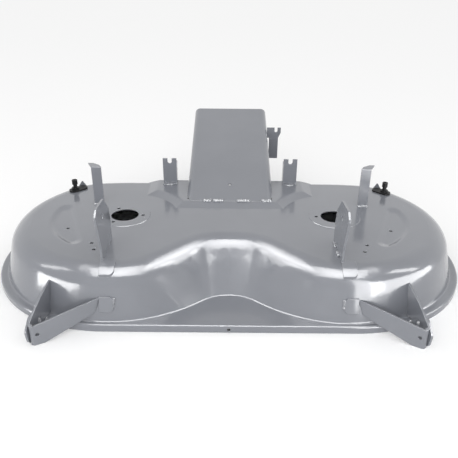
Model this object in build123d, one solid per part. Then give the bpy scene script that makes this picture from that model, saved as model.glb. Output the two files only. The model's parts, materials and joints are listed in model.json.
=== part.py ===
from build123d import *
import math
import os

os.makedirs("parts", exist_ok=True)

# Deck shell: one sheet pressing, two blade lobes joined by a front valley.
sheet = 2.5
spindle_spacing = 500.0
deck_height = 122.0
flange_height = 16.0
crown_radius = 253.0
wall_run = 26.0
flange_width = 12.0
flange_spread = 6.5
rear_edge = 212.0
flank_distance = 210.0
flank_angle = -40.5
valley_crown = 103.0
valley_foot = 180.0
front_shoulder = 47.0
rear_shoulder = 20.0
shoulder_from = 95.0
shoulder_turn = 50.0
valley_softness = 17.0
corner_power = 24
rim_bend = 5.0
fold_bend = 4.0

# Raised seat around the chute.
seat_rise = 8.0
seat_slope = 24.0
seat_half_width = 190.0
seat_front = 68.0
seat_clear_radius = 150.0
seat_round = 24.0

# Pressed features and holes of the shell.
spindle_bore = 65.0
pad_radius = 60.0
pad_rise = 1.5
spindle_bolt_circle = 86.0
spindle_bolt_hole = 9.0
dish_inset = 80.0
dish_chord = 112.0
dish_azimuth = 20.0
dish_depth = 4.5
dish_slope = 11.0
dish_corners = (16.0, 9.0)
dish_round = 16.0
small_hole = 8.0
dish_hole_at = (121.0, -61.0)
side_holes_at = ((49.0, -139.0), (38.0, -168.0))
lip_hole = 7.0
lip_hole_height = 7.0

# Discharge chute, a folded channel open below and to the rear.
chute_width = 218.0
chute_sheet = 2.5
chute_bend = 15.0
chute_setback = 142.0
chute_overhang = 237.0
chute_rise = 14.5
chute_depth = 125.0
chute_root = 46.0
chute_lap = 12.0
chute_lead = 60.0
chute_hole_along = 68.0
chute_hole = 8.0

# Welded brackets.
plate = 3.0
claw_setback = 106.0
claw_reach = 41.0
claw_low = 187.0
claw_high = 218.0
claw_stem_left = 7.0
claw_stem_width = 27.0
claw_stem_low = 123.0
claw_slot = 8.5
claw_slot_depth = 14.0
claw_slot_at = 27.0
fork_gap = 32.0
fork_setback = 24.0
fork_width = 36.0
fork_height = 70.0
fork_flange = 20.0
fork_foot = 11.0
fork_slot = 11.0
fork_slot_depth = 14.0
guide_outset = (74.0, 80.0)
guide_line = 66.0
guide_width = 24.0
guide_height = 99.0
guide_tab = 24.0
guide_ear = 13.0
hanger_plate = 4.0
hanger_inset = (-12.0, 21.0)
hanger_hole = 12.0
hanger_hole_at = (68.0, 86.0)
hanger_outline = (
    (133.0, 0.0),
    (135.0, 47.0),
    (127.0, 78.0),
    (89.0, 116.0),
    (27.0, 122.0),
    (9.0, 108.0),
    (33.0, 30.0),
    (33.0, 0.0),
)
hanger_round = 8.0
hanger_foot = 30.0
hanger_foot_front = 1.0
hanger_foot_rear = 41.0
hanger_foot_round = 10.0

# Front wheel brackets.
brace_plate = 4.0
brace_root_at = (-87.4, -12.7)
brace_tip_at = (-67.97, 88.9)
brace_heel_at = (-62.64, -22.3)
brace_bend = 6.0
brace_root_low = 38.0
brace_root_high = 69.0
brace_foot = 28.0
brace_foot_round = 9.0
brace_tip_high = 42.0
brace_heel_high = 90.0
brace_brow_at = 45.0
brace_rim_gap = 3.0
brace_tip_flat = 30.0
brace_hole = 8.0
brace_hole_back = 18.0
brace_hole_height = 24.0
axle_bore = 13.0
axle_along = 47.0
axle_height = 32.0
cheek_plate = 4.0
cheek_gap = 0.3
cheek_high = 55.0
cheek_length = 72.0
cheek_toe = 5.5
cheek_nose = 33.0
cheek_brow = 22.0
cheek_round = 14.0

# Wash fittings.
wash_azimuth = 134.0
wash_inset = 39.0
wash_length = 50.0
wash_width = 25.0
wash_flange = 4.0
wash_collar = 19.0
wash_collar_height = 9.0
wash_neck = 10.0
wash_head = 14.0
wash_head_low = 18.0
wash_top = 30.0
wash_bore = 6.0
lug_width = 20.0
lug_height = 15.0
lug_sheet = 2.0
lug_azimuth = 51.65
lug_inset = 21.0

# Weld beads.
bead_radius = 3.0
bead_length = 20.0
chute_bead_radius = 4.5
chute_beads = ((-56.0, 18.0), (-29.0, 24.0), (33.0, 30.0), (91.0, 24.0))

spindle_half = spindle_spacing / 2
fold_radius = crown_radius + wall_run
rim_radius = fold_radius + flange_width
skirt_low = flange_height / 2
dish_radius = crown_radius - dish_inset
chute_start = rear_edge - chute_setback
chute_end = fold_radius + chute_overhang
claw_at = chute_end - claw_setback
wash_radius = crown_radius - wash_inset
seat_top = deck_height + seat_rise
rear_lean = (fold_radius - rear_edge) / (deck_height - flange_height)
chute_half = chute_width / 2
lobe_steps = 24
valley_steps = 4
rear_steps = 4
shoulder_low = 12.0


def heading(angle):
    return math.cos(math.radians(angle)), math.sin(math.radians(angle))


def from_spindle(angle, reach):
    # Plan point at a bearing and distance from the right spindle.
    x, y = heading(angle)
    return spindle_half + reach * x, reach * y


def crown_reach(angle):
    # Distance from the spindle to the crown, limited by the rear edge and the valley flank.
    limits = [crown_radius]
    if heading(angle)[1] > 0.1:
        limits.append(rear_edge / heading(angle)[1])
    if heading(angle - flank_angle)[0] > 0.1:
        limits.append(flank_distance / heading(angle - flank_angle)[0])
    return sum(limit ** -corner_power for limit in limits) ** (-1 / corner_power)


def valley_line(x):
    # Crown of the valley: the lobe's flank running softly into the straight middle.
    flank_x, flank_y = heading(flank_angle)
    flank = (flank_x * (x + spindle_half) - flank_distance) / -flank_y
    dip = math.log1p(math.exp(-(flank + valley_crown) / valley_softness))
    return -valley_crown - valley_softness * dip


valley_bend = (spindle_half ** 2 + valley_foot ** 2 - fold_radius ** 2) / (2 * (fold_radius - valley_foot))
valley_centre = valley_foot + valley_bend
meet_angle = math.degrees(math.atan2(-valley_centre, spindle_half))


def deck_stations():
    # Foot, crown and shoulder radius around the left half, from the rear middle to the valley.
    stations = []
    for step in range(rear_steps):
        x = -spindle_half * step / rear_steps
        stations.append(((x, fold_radius), (x, rear_edge), rear_shoulder))
    for step in range(lobe_steps + 1):
        angle = 90 + (270 + meet_angle) * step / lobe_steps
        x, y = heading(angle)
        reach = crown_reach(angle)
        foot = (-spindle_half + fold_radius * x, fold_radius * y)
        crown = (-spindle_half + reach * x, reach * y)
        share = min(max((angle - shoulder_from) / shoulder_turn, 0), 1)
        share = share * share * (3 - 2 * share)
        stations.append((foot, crown, rear_shoulder + (front_shoulder - rear_shoulder) * share))
    start_x, start_y = stations[-1][1]
    miss = start_y - valley_line(start_x)
    for step in range(1, valley_steps + 1):
        share = step / valley_steps
        x, y = heading(180 + meet_angle - (90 + meet_angle) * share)
        foot = (valley_bend * x, -valley_centre + valley_bend * y)
        crown_x = start_x * (1 - share)
        crown = (crown_x, valley_line(crown_x) + miss * (1 - share) ** 2)
        stations.append((foot, crown, front_shoulder))
    return stations


def wall_share(foot, crown, shoulder, height, inset):
    # How far the wall has come from foot to crown at this height.
    run = math.dist(foot, crown)
    lean = math.atan2(run, deck_height - flange_height)
    centre = run + shoulder * math.tan((math.pi / 2 - lean) / 2)
    middle = deck_height - shoulder
    radius = shoulder - inset
    if height > middle + radius * math.sin(lean):
        return (centre - math.sqrt(max(radius ** 2 - (height - middle) ** 2, 0))) / run
    return ((height - flange_height) * math.tan(lean) + inset / math.cos(lean)) / run


def dome(inset):
    # Filled dome, drawn in by the sheet for the hollow, skinned through level outlines.
    stations = deck_stations()
    lengths = [0.0]
    for (foot, crown, _), (next_foot, next_crown, _) in zip(stations, stations[1:]):
        lengths.append(lengths[-1] + math.dist(foot, next_foot) + math.dist(crown, next_crown))
    knots = [length / lengths[-1] for length in lengths]
    middle = deck_height - front_shoulder
    radius = front_shoulder - inset
    wall_top = middle + radius * heading(shoulder_low)[1]
    heights = [skirt_low + (wall_top - skirt_low) * step / 5 for step in range(5)]
    for step in range(6):
        angle = shoulder_low + (90 - shoulder_low) * step / 5
        heights.append(middle + radius * heading(angle)[1])
    outlines = []
    for height in heights:
        points = []
        for foot, crown, shoulder in stations:
            share = wall_share(foot, crown, shoulder, height, inset)
            x = foot[0] + (crown[0] - foot[0]) * share
            y = foot[1] + (crown[1] - foot[1]) * share
            points.append(Vector(x, y, height))
        leave = Vector((points[1].X - points[0].X) / (knots[1] - knots[0]), 0, 0)
        arrive = Vector((points[-1].X - points[-2].X) / (knots[-1] - knots[-2]), 0, 0)
        curve = Edge.make_spline(points, tangents=[leave, arrive], parameters=knots, scale=False)
        outlines.append(Wire([curve, Edge.make_line(curve @ 1, curve @ 0)]))
    half = Solid.make_loft(outlines, ruled=False)
    return half + half.mirror(Plane.YZ)


def rim_block(inset):
    # The flange and lip as a filled slab.
    width = 2 * (rim_radius - inset)
    outline = SlotOverall(spindle_spacing + 2 * flange_spread + width, width)
    top = flange_height - inset
    slab = extrude(outline, amount=top)
    edges = slab.edges().group_by(Axis.Z)[-1]
    return fillet(edges, rim_bend - inset)


def seat_block(inset):
    # Raised seat with sloped sides, hollowed around each spindle.
    top = seat_top - inset
    base = deck_height - inset
    sunk = base - sheet
    rear_top = rear_edge - seat_rise * rear_lean - inset
    rear_base = rear_edge - inset
    grow = seat_slope * sheet / seat_rise
    side = Polyline(
        (seat_front - seat_slope - grow, sunk),
        (seat_front, top),
        (rear_top, top),
        (rear_base, base),
        (rear_base, sunk),
        close=True,
    )
    front = Polyline(
        (-seat_half_width - seat_slope - grow, sunk),
        (-seat_half_width, top),
        (seat_half_width, top),
        (seat_half_width + seat_slope + grow, sunk),
        close=True,
    )
    long_block = extrude(Plane.YZ * make_face(side), amount=2 * spindle_half, both=True)
    cross_block = extrude(Plane.XZ * make_face(front), amount=2 * rear_edge, both=True)
    seat = long_block & cross_block
    for hand in (-1, 1):
        scoop = Cone(
            seat_clear_radius - seat_slope - grow,
            seat_clear_radius + grow,
            top - sunk + sheet,
            align=(Align.CENTER, Align.CENTER, Align.MIN),
        )
        seat -= Pos(hand * spindle_half, 0, sunk) * scoop
    brow = seat.faces().sort_by(Axis.Z)[-1].edges().filter_by_position(Axis.Y, -rear_top, rear_top - 1)
    return fillet(brow, seat_round - inset)


def dish_block(hand, inset):
    # Shallow D-shaped pressing on the outer front of a lobe.
    faces = []
    for depth, draw, corner in zip((0, dish_depth), (0, dish_slope), dish_corners):
        radius = dish_radius - draw
        chord = dish_chord + draw
        spread = math.degrees(math.acos(chord / radius))
        ends = [heading(side * spread) for side in (-1, 1)]
        low = (radius * ends[0][0], radius * ends[0][1])
        high = (radius * ends[1][0], radius * ends[1][1])
        outline = Curve() + [ThreePointArc(low, (radius, 0), high), Line(high, low)]
        face = make_face(outline)
        face = fillet(face.vertices(), corner)
        faces.append(Pos(0, 0, deck_height - inset - depth) * face)
    dish = Rot(0, 0, -dish_azimuth) * loft(faces, ruled=True)
    dish = Pos(spindle_half, 0, 0) * dish
    if hand < 0:
        dish = dish.mirror(Plane.YZ)
    return dish


def pad_block(hand, inset):
    pad = Cone(
        pad_radius + 2 * pad_rise,
        pad_radius,
        pad_rise + sheet,
        align=(Align.CENTER, Align.CENTER, Align.MIN),
    )
    return Pos(hand * spindle_half, 0, deck_height - inset - sheet) * pad


def same_edges(body, drawn):
    # Edges of the body that lie on the drawn ones.
    found = []
    for edge in body.edges():
        for line in drawn:
            if (edge.center() - line.center()).length < 0.01 and abs(edge.length - line.length) < 0.01:
                found.append(edge)
    return found


def deck_body(inset):
    # Everything the shell encloses, down to the rim.
    body = dome(inset) + rim_block(inset)
    level = flange_height - inset
    fold = body.edges().filter_by(GeomType.BSPLINE).filter_by_position(Axis.Z, level - 0.01, level + 0.01)
    body = body.fillet(fold_bend + inset, fold) + seat_block(inset)
    for hand in (-1, 1):
        body += pad_block(hand, inset)
        dish = dish_block(hand, inset)
        levels = dish.faces().sort_by(Axis.Z)
        body -= dish
        body = body.fillet(dish_round - inset, same_edges(body, levels[-1].edges()))
        body = body.fillet(dish_round + inset, same_edges(body, levels[0].edges()))
    return body


def drill(x, y, diameter, low=deck_height / 2, high=2 * deck_height):
    return Pos(x, y, (low + high) / 2) * Cylinder(diameter / 2, high - low)


filled = deck_body(0)
hollow = deck_body(sheet)
shell = filled - hollow
for hand in (-1, 1):
    shell -= drill(hand * spindle_half, 0, spindle_bore)
    for angle in (0, 120, 240):
        x, y = heading(angle)
        offset_x = -hand * x * spindle_bolt_circle / 2
        shell -= drill(hand * spindle_half + offset_x, y * spindle_bolt_circle / 2, spindle_bolt_hole)
    for x, y in (dish_hole_at, *side_holes_at):
        shell -= drill(hand * (spindle_half + x), y, small_hole)
shell -= Pos(0, -rim_radius, lip_hole_height) * Rot(90, 0, 0) * Cylinder(lip_hole / 2, 4 * sheet)
mouth_front = chute_start + chute_lap
mouth = Box(
    chute_width - 2 * chute_sheet,
    2 * rim_radius - mouth_front,
    4 * deck_height,
    align=(Align.CENTER, Align.MIN, Align.CENTER),
)
shell -= Pos(0, mouth_front, 0) * mouth

slope = math.tan(math.radians(chute_rise))
roof_end = seat_top + (chute_end - chute_start) * slope
root_at = fold_radius - (chute_root - flange_height) * rear_lean


def chute_block(inset, stretch):
    # Channel profile from the side, running on past its open ends when it is the hollow.
    drop = inset / math.cos(math.radians(chute_rise))
    profile = Polyline(
        (chute_start - chute_lead - stretch, seat_top - (chute_lead + stretch) * slope - drop),
        (chute_end + stretch, roof_end + stretch * slope - drop),
        (chute_end + stretch, roof_end - chute_depth - stretch),
        (root_at, chute_root - stretch),
        (chute_start - chute_lead - stretch, chute_root - stretch),
        close=True,
    )
    block = extrude(Plane.YZ * make_face(profile), amount=chute_half - inset, both=True)
    roof = max(block.faces(), key=lambda face: face.normal_at().Z)
    bends = roof.edges().filter_by(lambda edge: abs(edge.tangent_at(0.5).X) < 0.01)
    return fillet(bends, chute_bend - inset)


chute = chute_block(0, 0) - chute_block(chute_sheet, chute_lead) - filled
chute -= drill(0, chute_start + chute_hole_along, chute_hole)
chute = max(chute.solids(), key=lambda solid: solid.volume)


def slab(low, high):
    # Plain block between two corners.
    size = [b - a for a, b in zip(low, high)]
    middle = [(a + b) / 2 for a, b in zip(low, high)]
    return Pos(*middle) * Box(*size)


def open_slot(x, y, top, width, depth):
    # Notch open at the top, cut fore and aft through a plate facing forward.
    low = top - depth + width / 2
    cut = slab((x - width / 2, y - 5 * plate, low), (x + width / 2, y + 5 * plate, top + plate))
    return cut + Pos(x, y, low) * Rot(90, 0, 0) * Cylinder(width / 2, 10 * plate)


def upright_plane(start, end, outward=0.0):
    # Upright plane along a plan line, drawn with distance along the line and height.
    length = math.dist(start, end)
    x = (end[0] - start[0]) / length
    y = (end[1] - start[1]) / length
    origin = (start[0] + y * outward, start[1] - x * outward, 0)
    return Plane(origin=origin, x_dir=(x, y, 0), z_dir=(y, -x, 0))


def round_crossing(start, end, centre, radius):
    # Distances along a plan line from its start to a circle centred on the line of the spindles.
    length = math.dist(start, end)
    x = (end[0] - start[0]) / length
    y = (end[1] - start[1]) / length
    along = (start[0] - centre) * x + start[1] * y
    across = (start[0] - centre) * y - start[1] * x
    half_chord = math.sqrt(radius ** 2 - across ** 2)
    return -along - half_chord, -along + half_chord


arm_left = chute_half
stem_left = arm_left + claw_stem_left
stem_right = stem_left + claw_stem_width
claw_outline = Polyline(
    (arm_left, claw_low),
    (arm_left, claw_high),
    (arm_left + claw_reach, claw_high),
    (arm_left + claw_reach, (claw_low + claw_high) / 2),
    (stem_right, claw_low),
    (stem_right, claw_stem_low),
    (stem_left, claw_stem_low),
    (stem_left, claw_low),
    close=True,
)
claw = Pos(0, claw_at, 0) * extrude(Plane.XZ * make_face(claw_outline), amount=plate / 2, both=True)
claw -= open_slot(arm_left + claw_slot_at, claw_at, claw_high, claw_slot, claw_slot_depth)


fork_left_edge = chute_half + fork_gap
fork_middle = fork_left_edge + fork_width / 2
fork_line = rear_edge - fork_setback
guide_left = -spindle_half - guide_outset[0]
guide_right = spindle_half + guide_outset[1]
hanger_left = hanger_inset[0] - spindle_half
hanger_right = spindle_half - hanger_inset[1]


def fork_bracket():
    # Upright plate with a notch, a flange turned back beside the chute and a foot turned forward.
    x, y = fork_middle, fork_line
    left = fork_left_edge
    right = left + fork_width
    top = seat_top + fork_height
    body = slab((left, y - plate, seat_top), (right, y, top))
    body += slab((left, y - plate, seat_top), (left + plate, y + fork_flange, top - fork_slot_depth))
    body += slab((left, y - plate - fork_foot, seat_top), (right, y, seat_top + plate))
    return body - open_slot(x, y, top, fork_slot, fork_slot_depth)


def belt_guide(x):
    # Upright strip with its top turned back and drawn out to the side.
    left = x - guide_width / 2
    right = x + guide_width / 2
    top = deck_height + guide_height
    strip = slab((left, guide_line - plate, deck_height), (right, guide_line, top))
    tab = Polyline(
        (left, guide_line - plate),
        (right, guide_line - plate),
        (right + guide_ear, guide_line + guide_tab),
        (right, guide_line + guide_tab),
        (left + guide_ear / 2, guide_line + guide_tab - guide_ear),
        close=True,
    )
    strip += Pos(0, 0, top - plate) * extrude(make_face(tab), amount=plate)
    bend = strip.edges().filter_by(Axis.X).group_by(Axis.Z)[-1].sort_by(Axis.Y)[0]
    return fillet(bend, 0.8 * plate)


foot_skin = dome(-hanger_plate)
brace_skin = dome(-brace_plate)


def hanger_bracket(x):
    # Fore-aft plate with a foot on the shoulder, the same part on both sides.
    outline = make_face(Polyline(*hanger_outline, close=True))
    corners = outline.vertices().sort_by(Axis.Y)[-5:]
    outline = fillet(corners, hanger_round)
    body = Pos(x, -crown_radius, deck_height) * extrude(Plane.YZ * outline, amount=hanger_plate)
    foot = slab(
        (x, hanger_foot_front - crown_radius, deck_height - front_shoulder),
        (x + hanger_foot, hanger_foot_rear - crown_radius, deck_height + front_shoulder),
    )
    foot = fillet(foot.edges().filter_by(Axis.Z).group_by(Axis.X)[-1], hanger_foot_round)
    body += (foot & foot_skin) - filled
    hole_y, hole_z = hanger_hole_at
    bore = Rot(0, 90, 0) * Cylinder(hanger_hole / 2, 4 * hanger_plate)
    return body - Pos(x, hole_y - crown_radius, deck_height + hole_z) * bore


brace_root = from_spindle(brace_root_at[0], fold_radius + brace_root_at[1])
brace_tip = from_spindle(brace_tip_at[0], fold_radius + brace_tip_at[1])
brace_heel = from_spindle(brace_heel_at[0], fold_radius + brace_heel_at[1])


def wheel_brace():
    # Bent strap: a strut from the front wall to the tip and a leg back to the side of the lobe.
    rim_top = flange_height + brace_rim_gap
    sunk = 4 * brace_plate
    strut_plane = upright_plane(brace_root, brace_tip)
    strut_length = math.dist(brace_root, brace_tip)
    strut_outline = Polyline(
        (-sunk, brace_root_low),
        (0, brace_root_low),
        (strut_length - brace_tip_flat, 0),
        (strut_length, 0),
        (strut_length, brace_tip_high),
        (-sunk, brace_root_high),
        close=True,
    )
    leg_plane = upright_plane(brace_tip, brace_heel)
    leg_length = math.dist(brace_tip, brace_heel)
    rim_centre = spindle_half + flange_spread
    leg_clear = round_crossing(brace_tip, brace_heel, rim_centre, rim_radius)[0] - 2 * brace_plate
    brow = Spline(
        (0, brace_tip_high),
        (brace_brow_at, (brace_tip_high + brace_heel_high) / 2),
        (leg_length + sunk, brace_heel_high),
    )
    leg_edge = Polyline(
        (leg_length + sunk, brace_heel_high),
        (leg_length + sunk, rim_top),
        (leg_clear, rim_top),
        (leg_clear - rim_top, 0),
        (0, 0),
        (0, brace_tip_high),
    )
    strut = extrude(strut_plane * make_face(strut_outline), amount=2 * brace_plate, both=True)
    leg = extrude(leg_plane * make_face(Curve() + [brow, leg_edge]), amount=2 * brace_plate, both=True)
    start = strut_plane.from_local_coords((-sunk, 0, 0))
    finish = leg_plane.from_local_coords((leg_length + sunk, 0, 0))
    line = FilletPolyline(start, (*brace_tip, 0), finish, radius=brace_bend)
    strap = extrude(trace(line, brace_plate), amount=brace_heel_high) & (strut + leg)
    return strap + brace_tab() - strut_hole() - axle_hole() - filled


def wall_radius(height):
    # Plan radius of the lobe's straight wall at a height.
    return fold_radius - (height - flange_height) * wall_run / (deck_height - flange_height)


def tab_start():
    # Where the strut runs into the wall, across the deck.
    along = round_crossing(brace_root, brace_tip, spindle_half, wall_radius(brace_root_high))[1]
    return brace_root[0] + (brace_tip[0] - brace_root[0]) * along / math.dist(brace_root, brace_tip)


def brace_tab():
    # End of the strap turned flat against the wall.
    inner = tab_start() - brace_foot
    block = slab(
        (inner, -rim_radius, brace_root_low),
        (tab_start(), -crown_radius / 2, brace_root_high),
    )
    block = fillet(block.edges().filter_by(Axis.Y).group_by(Axis.X)[0], brace_foot_round)
    return block & brace_skin


def wall_point(x, height):
    radius = wall_radius(height)
    return Vector(x, -math.sqrt(radius ** 2 - (x - spindle_half) ** 2), height)


def strut_weld():
    # Bead up the end of the strap's tab.
    inner = tab_start() - brace_foot
    low = wall_point(inner, brace_root_low + brace_foot_round)
    high = wall_point(inner, brace_root_high - brace_foot_round / 2)
    bead = Solid.make_cylinder(bead_radius, (high - low).length, Plane(low, z_dir=high - low))
    return bead - filled - wheel_brace()


def strut_hole():
    plane = upright_plane(brace_root, brace_tip)
    along = math.dist(brace_root, brace_tip) - brace_hole_back
    circle = plane * Pos(along, brace_hole_height) * Circle(brace_hole / 2)
    return extrude(circle, amount=2 * brace_plate, both=True)


def axle_hole():
    plane = upright_plane(brace_tip, brace_heel)
    circle = plane * Pos(axle_along, axle_height) * Circle(axle_bore / 2)
    return extrude(circle, amount=4 * brace_plate, both=True)


def wheel_cheek():
    # Rounded plate beside the leg, with the same axle bore.
    outline = Polyline(
        (cheek_toe, 0),
        (0, cheek_nose),
        (cheek_brow, cheek_high),
        (cheek_length - cheek_plate, cheek_high),
        (cheek_length, 0),
        close=True,
    )
    face = make_face(outline)
    face = fillet(face.vertices().sort_by(Axis.X)[:-1], cheek_round)
    plane = upright_plane(brace_tip, brace_heel, brace_plate / 2 + cheek_gap)
    return extrude(plane * face, amount=cheek_plate) - axle_hole()


wash_spot = Pos(*from_spindle(180 - wash_azimuth, wash_radius), deck_height)
wash_place = wash_spot * Rot(0, 0, 90 - wash_azimuth)
wash_offset = (wash_length - wash_width) / 3
up = (Align.CENTER, Align.CENTER, Align.MIN)


def wash_nozzle():
    # Oval flange with a waisted hose nipple towards its outer end.
    body = extrude(SlotOverall(wash_length, wash_width), amount=wash_flange)
    spout = Cylinder(wash_collar / 2, wash_collar_height, align=up)
    spout += Cylinder(wash_neck / 2, wash_top, align=up)
    spout += Pos(0, 0, wash_head_low) * Cylinder(wash_head / 2, wash_top - wash_head_low, align=up)
    body += Pos(wash_offset, 0, 0) * spout
    body -= Pos(wash_offset, 0, 0) * Cylinder(wash_bore / 2, 3 * wash_top)
    return wash_place * body


def wash_lug():
    # Small upright triangle behind the inner end of the flange.
    outline = Polyline(
        (-lug_width / 2, -lug_height),
        (lug_width / 2, -lug_height),
        (lug_width / 2, 0),
        (0, lug_height),
        (-lug_width / 2, 0),
        close=True,
    )
    face = make_face(outline)
    face = fillet(face.vertices().sort_by(Axis.Y)[-1:], lug_sheet)
    lug_at = from_spindle(lug_azimuth, crown_radius - lug_inset)
    lug = Pos(*lug_at, deck_height) * extrude(Plane.XZ * face, amount=lug_sheet / 2, both=True)
    return lug - filled


def bead(x, y, z, length, along, radius=bead_radius):
    turn = Rot(0, 90, 0) if along == "x" else Rot(90, 0, 0)
    return Pos(x, y, z) * turn * Cylinder(radius, length)


def both_hands(shape):
    return shape.mirror(Plane.YZ), shape


fork_left, fork_right = both_hands(fork_bracket())
strip_left = belt_guide(-guide_left).mirror(Plane.YZ)
strip_right = belt_guide(guide_right)
hanger_a = hanger_bracket(hanger_left)
hanger_b = hanger_bracket(hanger_right)
brace_left, brace_right = both_hands(wheel_brace())
cheek_left, cheek_right = both_hands(wheel_cheek())
nozzle_left, nozzle_right = both_hands(wash_nozzle())
lug_left, lug_right = both_hands(wash_lug())
wash_hole = wash_place * Pos(wash_offset, 0, 0) * Cylinder(wash_neck / 2, 4 * sheet)
for cut in both_hands(wash_hole):
    shell -= cut

chute_weld = []
for x, length in chute_beads:
    weld = bead(x, chute_start, seat_top, length, "x", chute_bead_radius)
    chute_weld.append(weld - filled - chute)
bracket_weld = []
for x in (hanger_left, hanger_right):
    for y in (hanger_outline[0][0] - bead_length, hanger_outline[-1][0] + 2 * bead_length):
        bracket_weld.append(bead(x, y - crown_radius, deck_height, bead_length, "y"))
for x in (guide_left, guide_right):
    bracket_weld.append(bead(x, guide_line - plate, deck_height, guide_width, "x"))
fork_toe = fork_line - plate - fork_foot
for hand in (-1, 1):
    bracket_weld.append(bead(hand * fork_middle, fork_toe, seat_top, fork_width / 2, "x"))
standing = [hanger_a, hanger_b, strip_left, strip_right, fork_left, fork_right]
bracket_weld = [weld.cut(filled, *standing) for weld in bracket_weld]
bracket_weld += both_hands(strut_weld())

nodes = {
    "deck_shell": shell,
    "discharge_chute": chute,
    "chute_side_bracket": claw,
    "fork_bracket_left": fork_left,
    "fork_bracket_right": fork_right,
    "belt_guide_left": strip_left,
    "belt_guide_right": strip_right,
    "hanger_bracket_left": hanger_a,
    "hanger_bracket_right": hanger_b,
    "wheel_brace_left": brace_left,
    "wheel_brace_right": brace_right,
    "wheel_cheek_left": cheek_left,
    "wheel_cheek_right": cheek_right,
    "wash_nozzle_left": nozzle_left,
    "wash_nozzle_right": nozzle_right,
    "wash_lug_left": lug_left,
    "wash_lug_right": lug_right,
    "chute_welds": Compound(chute_weld),
    "bracket_welds": Compound(bracket_weld),
}

# The frame sits at the middle of the footprint, on the ground.
extent = Compound([node for node in nodes.values()]).bounding_box()
to_frame = Pos(-extent.center().X, -extent.center().Y, -extent.min.Z)
for name, shape in nodes.items():
    export_step(to_frame * shape, f"parts/{name}.step")
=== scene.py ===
import json
import math

import bmesh
import bpy
from mathutils import Matrix, Vector, noise


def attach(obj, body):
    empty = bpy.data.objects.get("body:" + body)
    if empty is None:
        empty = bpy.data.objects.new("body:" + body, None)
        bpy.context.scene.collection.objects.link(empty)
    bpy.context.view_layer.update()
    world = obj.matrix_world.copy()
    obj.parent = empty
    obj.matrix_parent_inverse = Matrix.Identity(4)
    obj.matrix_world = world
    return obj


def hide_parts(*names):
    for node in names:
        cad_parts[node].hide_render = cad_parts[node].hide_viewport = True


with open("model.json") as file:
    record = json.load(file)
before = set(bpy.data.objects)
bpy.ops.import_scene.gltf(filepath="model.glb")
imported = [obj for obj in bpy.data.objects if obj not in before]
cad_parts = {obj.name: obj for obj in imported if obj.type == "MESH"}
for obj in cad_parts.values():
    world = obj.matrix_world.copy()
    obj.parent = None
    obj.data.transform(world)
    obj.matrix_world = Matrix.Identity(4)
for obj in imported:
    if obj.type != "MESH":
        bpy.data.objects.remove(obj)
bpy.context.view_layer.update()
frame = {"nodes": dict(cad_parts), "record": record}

nodes = frame["nodes"]
scene = bpy.context.scene
scene.view_settings.view_transform = "Standard"
print("loaded", len(nodes), "CAD nodes")

# camera fitted to the photo: front of the deck, looking down over the flange
cameraSet = {
    "place": (-0.0012, -1.2957, 0.7031),
    "tilt": 63.0,  # up from straight down
    "roll": 0.5,
    "lens": 44.02,
    "sensor": 36.0,
    "reach": 200.0,
}


def makeCamera():
    data = bpy.data.cameras.new("frontCamera")
    data.lens = cameraSet["lens"]
    data.sensor_width = cameraSet["sensor"]
    data.clip_end = cameraSet["reach"]
    camera = bpy.data.objects.new("frontCamera", data)
    tilt = Matrix.Rotation(math.radians(cameraSet["tilt"]), 4, "X")
    roll = Matrix.Rotation(math.radians(cameraSet["roll"]), 4, "Z")
    camera.matrix_world = Matrix.Translation(cameraSet["place"]) @ tilt @ roll
    scene.collection.objects.link(camera)
    scene.camera = camera


makeCamera()
print("camera set")


# a socket is linked to the input, any other value is set on it
def feed(tree, node, values):
    for name, value in values.items():
        if isinstance(value, bpy.types.NodeSocket):
            tree.links.new(value, node.inputs[name])
        else:
            node.inputs[name].default_value = value


def addNode(tree, kind, values, **settings):
    node = tree.nodes.new(kind)
    for name, value in settings.items():
        setattr(node, name, value)
    feed(tree, node, values)
    return node


def noiseMask(tree, place, values):
    return addNode(tree, "ShaderNodeTexNoise", {"Vector": place, **values}).outputs["Fac"]


# a window of the value is stretched from low to high; noise mostly fills 0.3 to 0.7
def spread(tree, value, low, high, start=0.3, end=0.7):
    limits = {"From Min": start, "From Max": end, "To Min": low, "To Max": high}
    return addNode(tree, "ShaderNodeMapRange", {"Value": value, **limits}).outputs["Result"]


def combine(tree, how, first, second):
    return addNode(tree, "ShaderNodeMath", {0: first, 1: second}, operation=how).outputs["Value"]


def blendColours(tree, mask, first, second):
    values = {"Factor": mask, "A": first, "B": second}
    return addNode(tree, "ShaderNodeMix", values, data_type="RGBA").outputs["Result"]


def bumpNormal(tree, height, normal, values):
    return addNode(tree, "ShaderNodeBump", {"Height": height, "Normal": normal, **values}).outputs["Normal"]


layoutSet = {"column": 240.0, "row": 220.0}


# nodes stand in columns, each to the left of all that it feeds
def arrange(tree):
    column = {node.name: 0 for node in tree.nodes}
    for _ in tree.nodes:
        for link in tree.links:
            giver = link.from_node.name
            column[giver] = max(column[giver], column[link.to_node.name] + 1)
    filled = {}
    for node in tree.nodes:
        place = column[node.name]
        row = filled.get(place, 0)
        node.location = (-place * layoutSet["column"], -row * layoutSet["row"])
        filled[place] = row + 1


def newGroup(name, takes, gives):
    group = bpy.data.node_groups.new(name, "ShaderNodeTree")
    for way, sockets in (("INPUT", takes), ("OUTPUT", gives)):
        for label, kind in sockets.items():
            group.interface.new_socket(name=label, in_out=way, socket_type="NodeSocket" + kind)
    taken = addNode(group, "NodeGroupInput", {})
    given = addNode(group, "NodeGroupOutput", {})
    return group, taken.outputs, given


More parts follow.
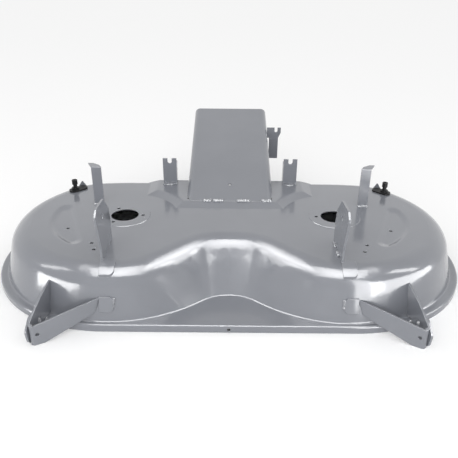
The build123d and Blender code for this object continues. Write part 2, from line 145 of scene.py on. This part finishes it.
# sprayed and baked paint film: slow drift of tone, fine grain, orange peel, faint waves of the sheet below
paintFilmSet = {
    "takes": {
        "Deep Tone": "Color", "Full Tone": "Color",
        "Smooth": "Float", "Dull": "Float", "Peel": "Float", "Waves": "Float",
    },
    "gives": {"Colour": "Color", "Roughness": "Float", "Height": "Float"},
    "drift": {"Scale": 7.0, "Detail": 3.0},
    "driftShare": 0.75,
    "grain": {"Scale": 1300.0, "Detail": 1.0},
    "grainShare": 0.25,
    "sheen": {"Scale": 24.0, "Detail": 4.0},
    "peel": {"Scale": 320.0, "Detail": 1.0},
    "waves": {"Scale": 16.0, "Detail": 1.0},
}


def makePaintFilm():
    s = paintFilmSet
    group, taken, given = newGroup("paintFilm", s["takes"], s["gives"])
    place = addNode(group, "ShaderNodeTexCoord", {}).outputs["Object"]
    drift = combine(group, "MULTIPLY", noiseMask(group, place, s["drift"]), s["driftShare"])
    grain = combine(group, "MULTIPLY", noiseMask(group, place, s["grain"]), s["grainShare"])
    tone = spread(group, combine(group, "ADD", drift, grain), 0.0, 1.0)
    sheen = noiseMask(group, place, s["sheen"])
    peel = combine(group, "MULTIPLY", noiseMask(group, place, s["peel"]), taken["Peel"])
    waves = combine(group, "MULTIPLY", noiseMask(group, place, s["waves"]), taken["Waves"])
    feed(group, given, {
        "Colour": blendColours(group, tone, taken["Deep Tone"], taken["Full Tone"]),
        "Roughness": spread(group, sheen, taken["Smooth"], taken["Dull"]),
        "Height": combine(group, "ADD", peel, waves),
    })
    arrange(group)
    return group


# rounded plate edges: the normal turns over a small radius, and the mask marks where it turns
edgeCatchSet = {
    "takes": {"Radius": "Float"},
    "gives": {"Normal": "Vector", "Edge": "Float"},
    "samples": 6,
    "turned": 0.75,  # match of the two normals where the mask is full
    "flat": 0.98,  # and where it ends
}


def makeEdgeCatch():
    s = edgeCatchSet
    group, taken, given = newGroup("edgeCatch", s["takes"], s["gives"])
    bend = addNode(group, "ShaderNodeBevel", {"Radius": taken["Radius"]}, samples=s["samples"])
    plain = addNode(group, "ShaderNodeNewGeometry", {})
    pair = {0: bend.outputs["Normal"], 1: plain.outputs["Normal"]}
    match = addNode(group, "ShaderNodeVectorMath", pair, operation="DOT_PRODUCT")
    feed(group, given, {
        "Normal": bend.outputs["Normal"],
        "Edge": spread(group, match.outputs["Value"], 1.0, 0.0, s["turned"], s["flat"]),
    })
    arrange(group)
    return group


paintFilm = makePaintFilm()
edgeCatch = makeEdgeCatch()
print("node groups made")


def newMaterial(name):
    material = bpy.data.materials.new(name)
    material.use_nodes = True
    return material, material.node_tree, material.node_tree.nodes["Principled BSDF"]


# grey gloss on all the sheet metal, paler along the edges: partly thinner paint there, partly a painted
# highlight on the edges
deckPaintSet = {
    "film": {
        "Deep Tone": (0.186, 0.195, 0.217, 1.0), "Full Tone": (0.208, 0.217, 0.24, 1.0),
        "Smooth": 0.15, "Dull": 0.22, "Peel": 0.35, "Waves": 1.0,
    },
    "edge": {"Radius": 0.0015},
    "thinEdgeAndHighlightTone": (0.36, 0.37, 0.39, 1.0),
    "bump": {"Strength": 0.2, "Distance": 0.0006},
    "shader": {"IOR": 1.5, "Coat Weight": 0.35, "Coat Roughness": 0.07},
}


def makeDeckPaint():
    s = deckPaintSet
    material, tree, shader = newMaterial("deckPaint")
    film = addNode(tree, "ShaderNodeGroup", s["film"], node_tree=paintFilm).outputs
    edge = addNode(tree, "ShaderNodeGroup", s["edge"], node_tree=edgeCatch).outputs
    feed(tree, shader, {
        # the edge mask lightens the colour: thinner paint over the edges plus a painted highlight along
        # them
        "Base Color": blendColours(tree, edge["Edge"], film["Colour"], s["thinEdgeAndHighlightTone"]),
        "Roughness": film["Roughness"],
        "Normal": bumpNormal(tree, film["Height"], edge["Normal"], s["bump"]),
        **s["shader"],
    })
    arrange(tree)
    return material


# the same paint over the welds, thicker and glossier on their coins and lumps
weldPaintSet = {
    "film": {
        "Deep Tone": (0.19, 0.198, 0.216, 1.0), "Full Tone": (0.27, 0.278, 0.3, 1.0),
        "Smooth": 0.08, "Dull": 0.16, "Peel": 0.2, "Waves": 0.2,
    },
    "coins": {"Scale": 420.0},
    "coinRise": -0.5,
    "lumps": {"Scale": 150.0, "Detail": 2.0},
    "bump": {"Strength": 0.5, "Distance": 0.001},
    "shader": {"IOR": 1.55, "Coat Weight": 0.6, "Coat Roughness": 0.06},
}


def makeWeldPaint():
    s = weldPaintSet
    material, tree, shader = newMaterial("weldPaint")
    film = addNode(tree, "ShaderNodeGroup", s["film"], node_tree=paintFilm).outputs
    place = addNode(tree, "ShaderNodeTexCoord", {}).outputs["Object"]
    coins = addNode(tree, "ShaderNodeTexVoronoi", {"Vector": place, **s["coins"]}).outputs["Distance"]
    lumps = noiseMask(tree, place, s["lumps"])
    height = combine(tree, "ADD", combine(tree, "MULTIPLY", coins, s["coinRise"]), lumps)
    plain = addNode(tree, "ShaderNodeNewGeometry", {}).outputs["Normal"]
    feed(tree, shader, {
        "Base Color": film["Colour"],
        "Roughness": film["Roughness"],
        "Normal": bumpNormal(tree, height, plain, s["bump"]),
        **s["shader"],
    })
    arrange(tree)
    return material


# black moulded fittings, satin with a fine grain
nozzlePlasticSet = {
    "film": {
        "Deep Tone": (0.004, 0.004, 0.005, 1.0), "Full Tone": (0.01, 0.01, 0.011, 1.0),
        "Smooth": 0.34, "Dull": 0.55, "Peel": 0.8, "Waves": 0.2,
    },
    "edge": {"Radius": 0.0006},
    "bump": {"Strength": 0.35, "Distance": 0.0004},
    "shader": {"IOR": 1.48, "Specular IOR Level": 0.25},
}


def makeNozzlePlastic():
    s = nozzlePlasticSet
    material, tree, shader = newMaterial("nozzlePlastic")
    film = addNode(tree, "ShaderNodeGroup", s["film"], node_tree=paintFilm).outputs
    edge = addNode(tree, "ShaderNodeGroup", s["edge"], node_tree=edgeCatch).outputs
    feed(tree, shader, {
        "Base Color": film["Colour"],
        "Roughness": film["Roughness"],
        "Normal": bumpNormal(tree, film["Height"], edge["Normal"], s["bump"]),
        **s["shader"],
    })
    arrange(tree)
    return material


finishes = {
    "deck_paint": makeDeckPaint(),
    "weld_paint": makeWeldPaint(),
    "black_plastic": makeNozzlePlastic(),
}
for entry in frame["record"]["subparts"]:
    mesh = nodes[entry["node"]].data
    mesh.materials.clear()
    mesh.materials.append(finishes[entry["material_slot"]])
print("finishes on", len(nodes), "nodes")


# weld runs: the CAD beads swelled into lumps, with the ripple of each pass of the torch
weldSet = {
    "merge": 0.00001,
    "voxel": 0.0007,
    "swell": 0.0005,
    "ripple": 0.0009,
    "pitch": 0.0044,
    "lump": 0.0013,
    "lumpScale": 240.0,
    "ease": 0.5,
}


def makeWeld(name, node):
    s = weldSet
    bead = bmesh.new()
    bead.from_mesh(nodes[node].data)
    bmesh.ops.remove_doubles(bead, verts=bead.verts, dist=s["merge"])
    mesh = bpy.data.meshes.new(name)
    bead.to_mesh(mesh)
    bead.free()
    piece = bpy.data.objects.new(name, mesh)
    scene.collection.objects.link(piece)
    even = piece.modifiers.new("even", "REMESH")
    even.mode = "VOXEL"
    even.voxel_size = s["voxel"]
    graph = bpy.context.evaluated_depsgraph_get()
    shaped = bpy.data.meshes.new_from_object(piece.evaluated_get(graph))
    piece.modifiers.clear()
    bead = bmesh.new()
    bead.from_mesh(shaped)
    bead.normal_update()
    for vert in bead.verts:
        pulse = abs(math.sin(math.pi * (vert.co.x + vert.co.y) / s["pitch"]))
        lump = noise.noise(vert.co * s["lumpScale"])
        vert.co += vert.normal * (s["swell"] + s["ripple"] * pulse + s["lump"] * lump)
    bmesh.ops.smooth_vert(
        bead, verts=bead.verts, factor=s["ease"], use_axis_x=True, use_axis_y=True, use_axis_z=True)
    bead.to_mesh(mesh)
    bead.free()
    bpy.data.meshes.remove(shaped)
    mesh.shade_smooth()
    mesh.materials.append(finishes["weld_paint"])
    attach(piece, "root")
    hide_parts(node)


makeWeld("chuteWeldRun", "chute_welds")
makeWeld("bracketWeldRun", "bracket_welds")
print("weld runs shaped")

floorSet = {
    "half": 60.0,
    "shader": {"Base Color": (0.98, 0.98, 0.98, 1.0), "Roughness": 0.9, "Specular IOR Level": 0.0},
}


def makeFloor():
    mesh = bpy.data.meshes.new("paleFloor")
    sheet = bmesh.new()
    bmesh.ops.create_grid(sheet, x_segments=1, y_segments=1, size=floorSet["half"])
    sheet.to_mesh(mesh)
    sheet.free()
    floor = bpy.data.objects.new("paleFloor", mesh)
    scene.collection.objects.link(floor)
    material, tree, shader = newMaterial("paleFloor")
    feed(tree, shader, floorSet["shader"])
    mesh.materials.append(material)


makeFloor()

# soft boxes: the gloss ones draw the long highlights, the key gives the plain light
# beam is the opening of the slatted grid in degrees, and 180 is a lamp without one
lampSet = {
    "topRightGloss": {
        "place": (0.26, -0.2, 0.52), "aim": (-0.15, -0.3, 0.11),
        "size": (0.9, 0.4), "level": 12.0, "beam": 60.0,
    },
    "topLeftGloss": {
        "place": (-0.26, -0.2, 0.52), "aim": (0.15, -0.3, 0.11),
        "size": (0.9, 0.4), "level": 11.0, "beam": 60.0,
    },
    "topMidGloss": {
        "place": (0.0, -0.5, 0.77), "aim": (0.0, -0.26, 0.11),
        "size": (1.1, 0.6), "level": 10.5, "beam": 104.0,
    },
    "wingRightGloss": {
        "place": (1.9, -0.5, 1.16), "aim": (1.9, -0.5, 0.0),
        "size": (1.6, 0.3), "level": 7.0, "beam": 180.0,
    },
    "wingLeftGloss": {
        "place": (-1.9, -0.5, 1.16), "aim": (-1.9, -0.5, 0.0),
        "size": (1.6, 0.3), "level": 5.0, "beam": 180.0,
    },
    "lowRightGloss": {
        "place": (0.57, -0.76, 0.2), "aim": (1.1, 0.09, 0.2),
        "size": (0.6, 0.38), "level": 7.0, "beam": 180.0,
    },
    "sideRightGloss": {
        "place": (0.72, -0.38, 0.128), "aim": (0.25, 0.5, 0.128),
        "size": (0.73, 0.175), "level": 7.0, "beam": 180.0,
    },
    "lowLeftGloss": {
        "place": (-0.677, -0.635, 0.06), "aim": (0.311, -0.789, 0.06),
        "size": (0.587, 0.1), "level": 9.0, "beam": 180.0,
    },
    "keySoft": {
        "place": (-0.4, -2.7, 1.25), "aim": (0.0, 0.0, 0.1),
        "size": (2.6, 2.0), "level": 1.5, "beam": 180.0,
    },
}
wattsPerLevel = 4.0  # for a square metre of lamp


def makeLamps():
    for name, s in lampSet.items():
        gloss = name.endswith("Gloss")
        half = math.radians(s["beam"] / 2.0)
        focus = 1.0 - half / math.tan(half)  # a grid gathers the light on its axis
        data = bpy.data.lights.new(name, "AREA")
        data.shape = "RECTANGLE"
        data.size, data.size_y = s["size"]
        data.spread = half * 2.0
        data.energy = s["level"] * focus * wattsPerLevel * s["size"][0] * s["size"][1]
        lamp = bpy.data.objects.new(name, data)
        lamp.location = s["place"]
        lamp.rotation_euler = (Vector(s["aim"]) - Vector(s["place"])).to_track_quat("-Z", "Y").to_euler()
        lamp.visible_camera = False
        lamp.visible_diffuse = not gloss
        lamp.visible_glossy = gloss
        scene.collection.objects.link(lamp)


makeLamps()

# plain white round the stage, a little dimmer as light than as it is seen
worldSet = {"colour": (1.0, 1.0, 1.0, 1.0), "light": 0.93, "shown": 1.0}


def makeWorld():
    world = bpy.data.worlds.new("studio")
    world.use_nodes = True
    scene.world = world
    tree = world.node_tree
    path = addNode(tree, "ShaderNodeLightPath", {}).outputs
    seen = combine(tree, "MAXIMUM", path["Is Camera Ray"], path["Is Glossy Ray"])
    seen = combine(tree, "MAXIMUM", seen, path["Is Transmission Ray"])
    feed(tree, tree.nodes["Background"], {
        "Color": worldSet["colour"],
        "Strength": spread(tree, seen, worldSet["light"], worldSet["shown"], 0.0, 1.0),
    })
    arrange(tree)


makeWorld()
print("stage and light set")
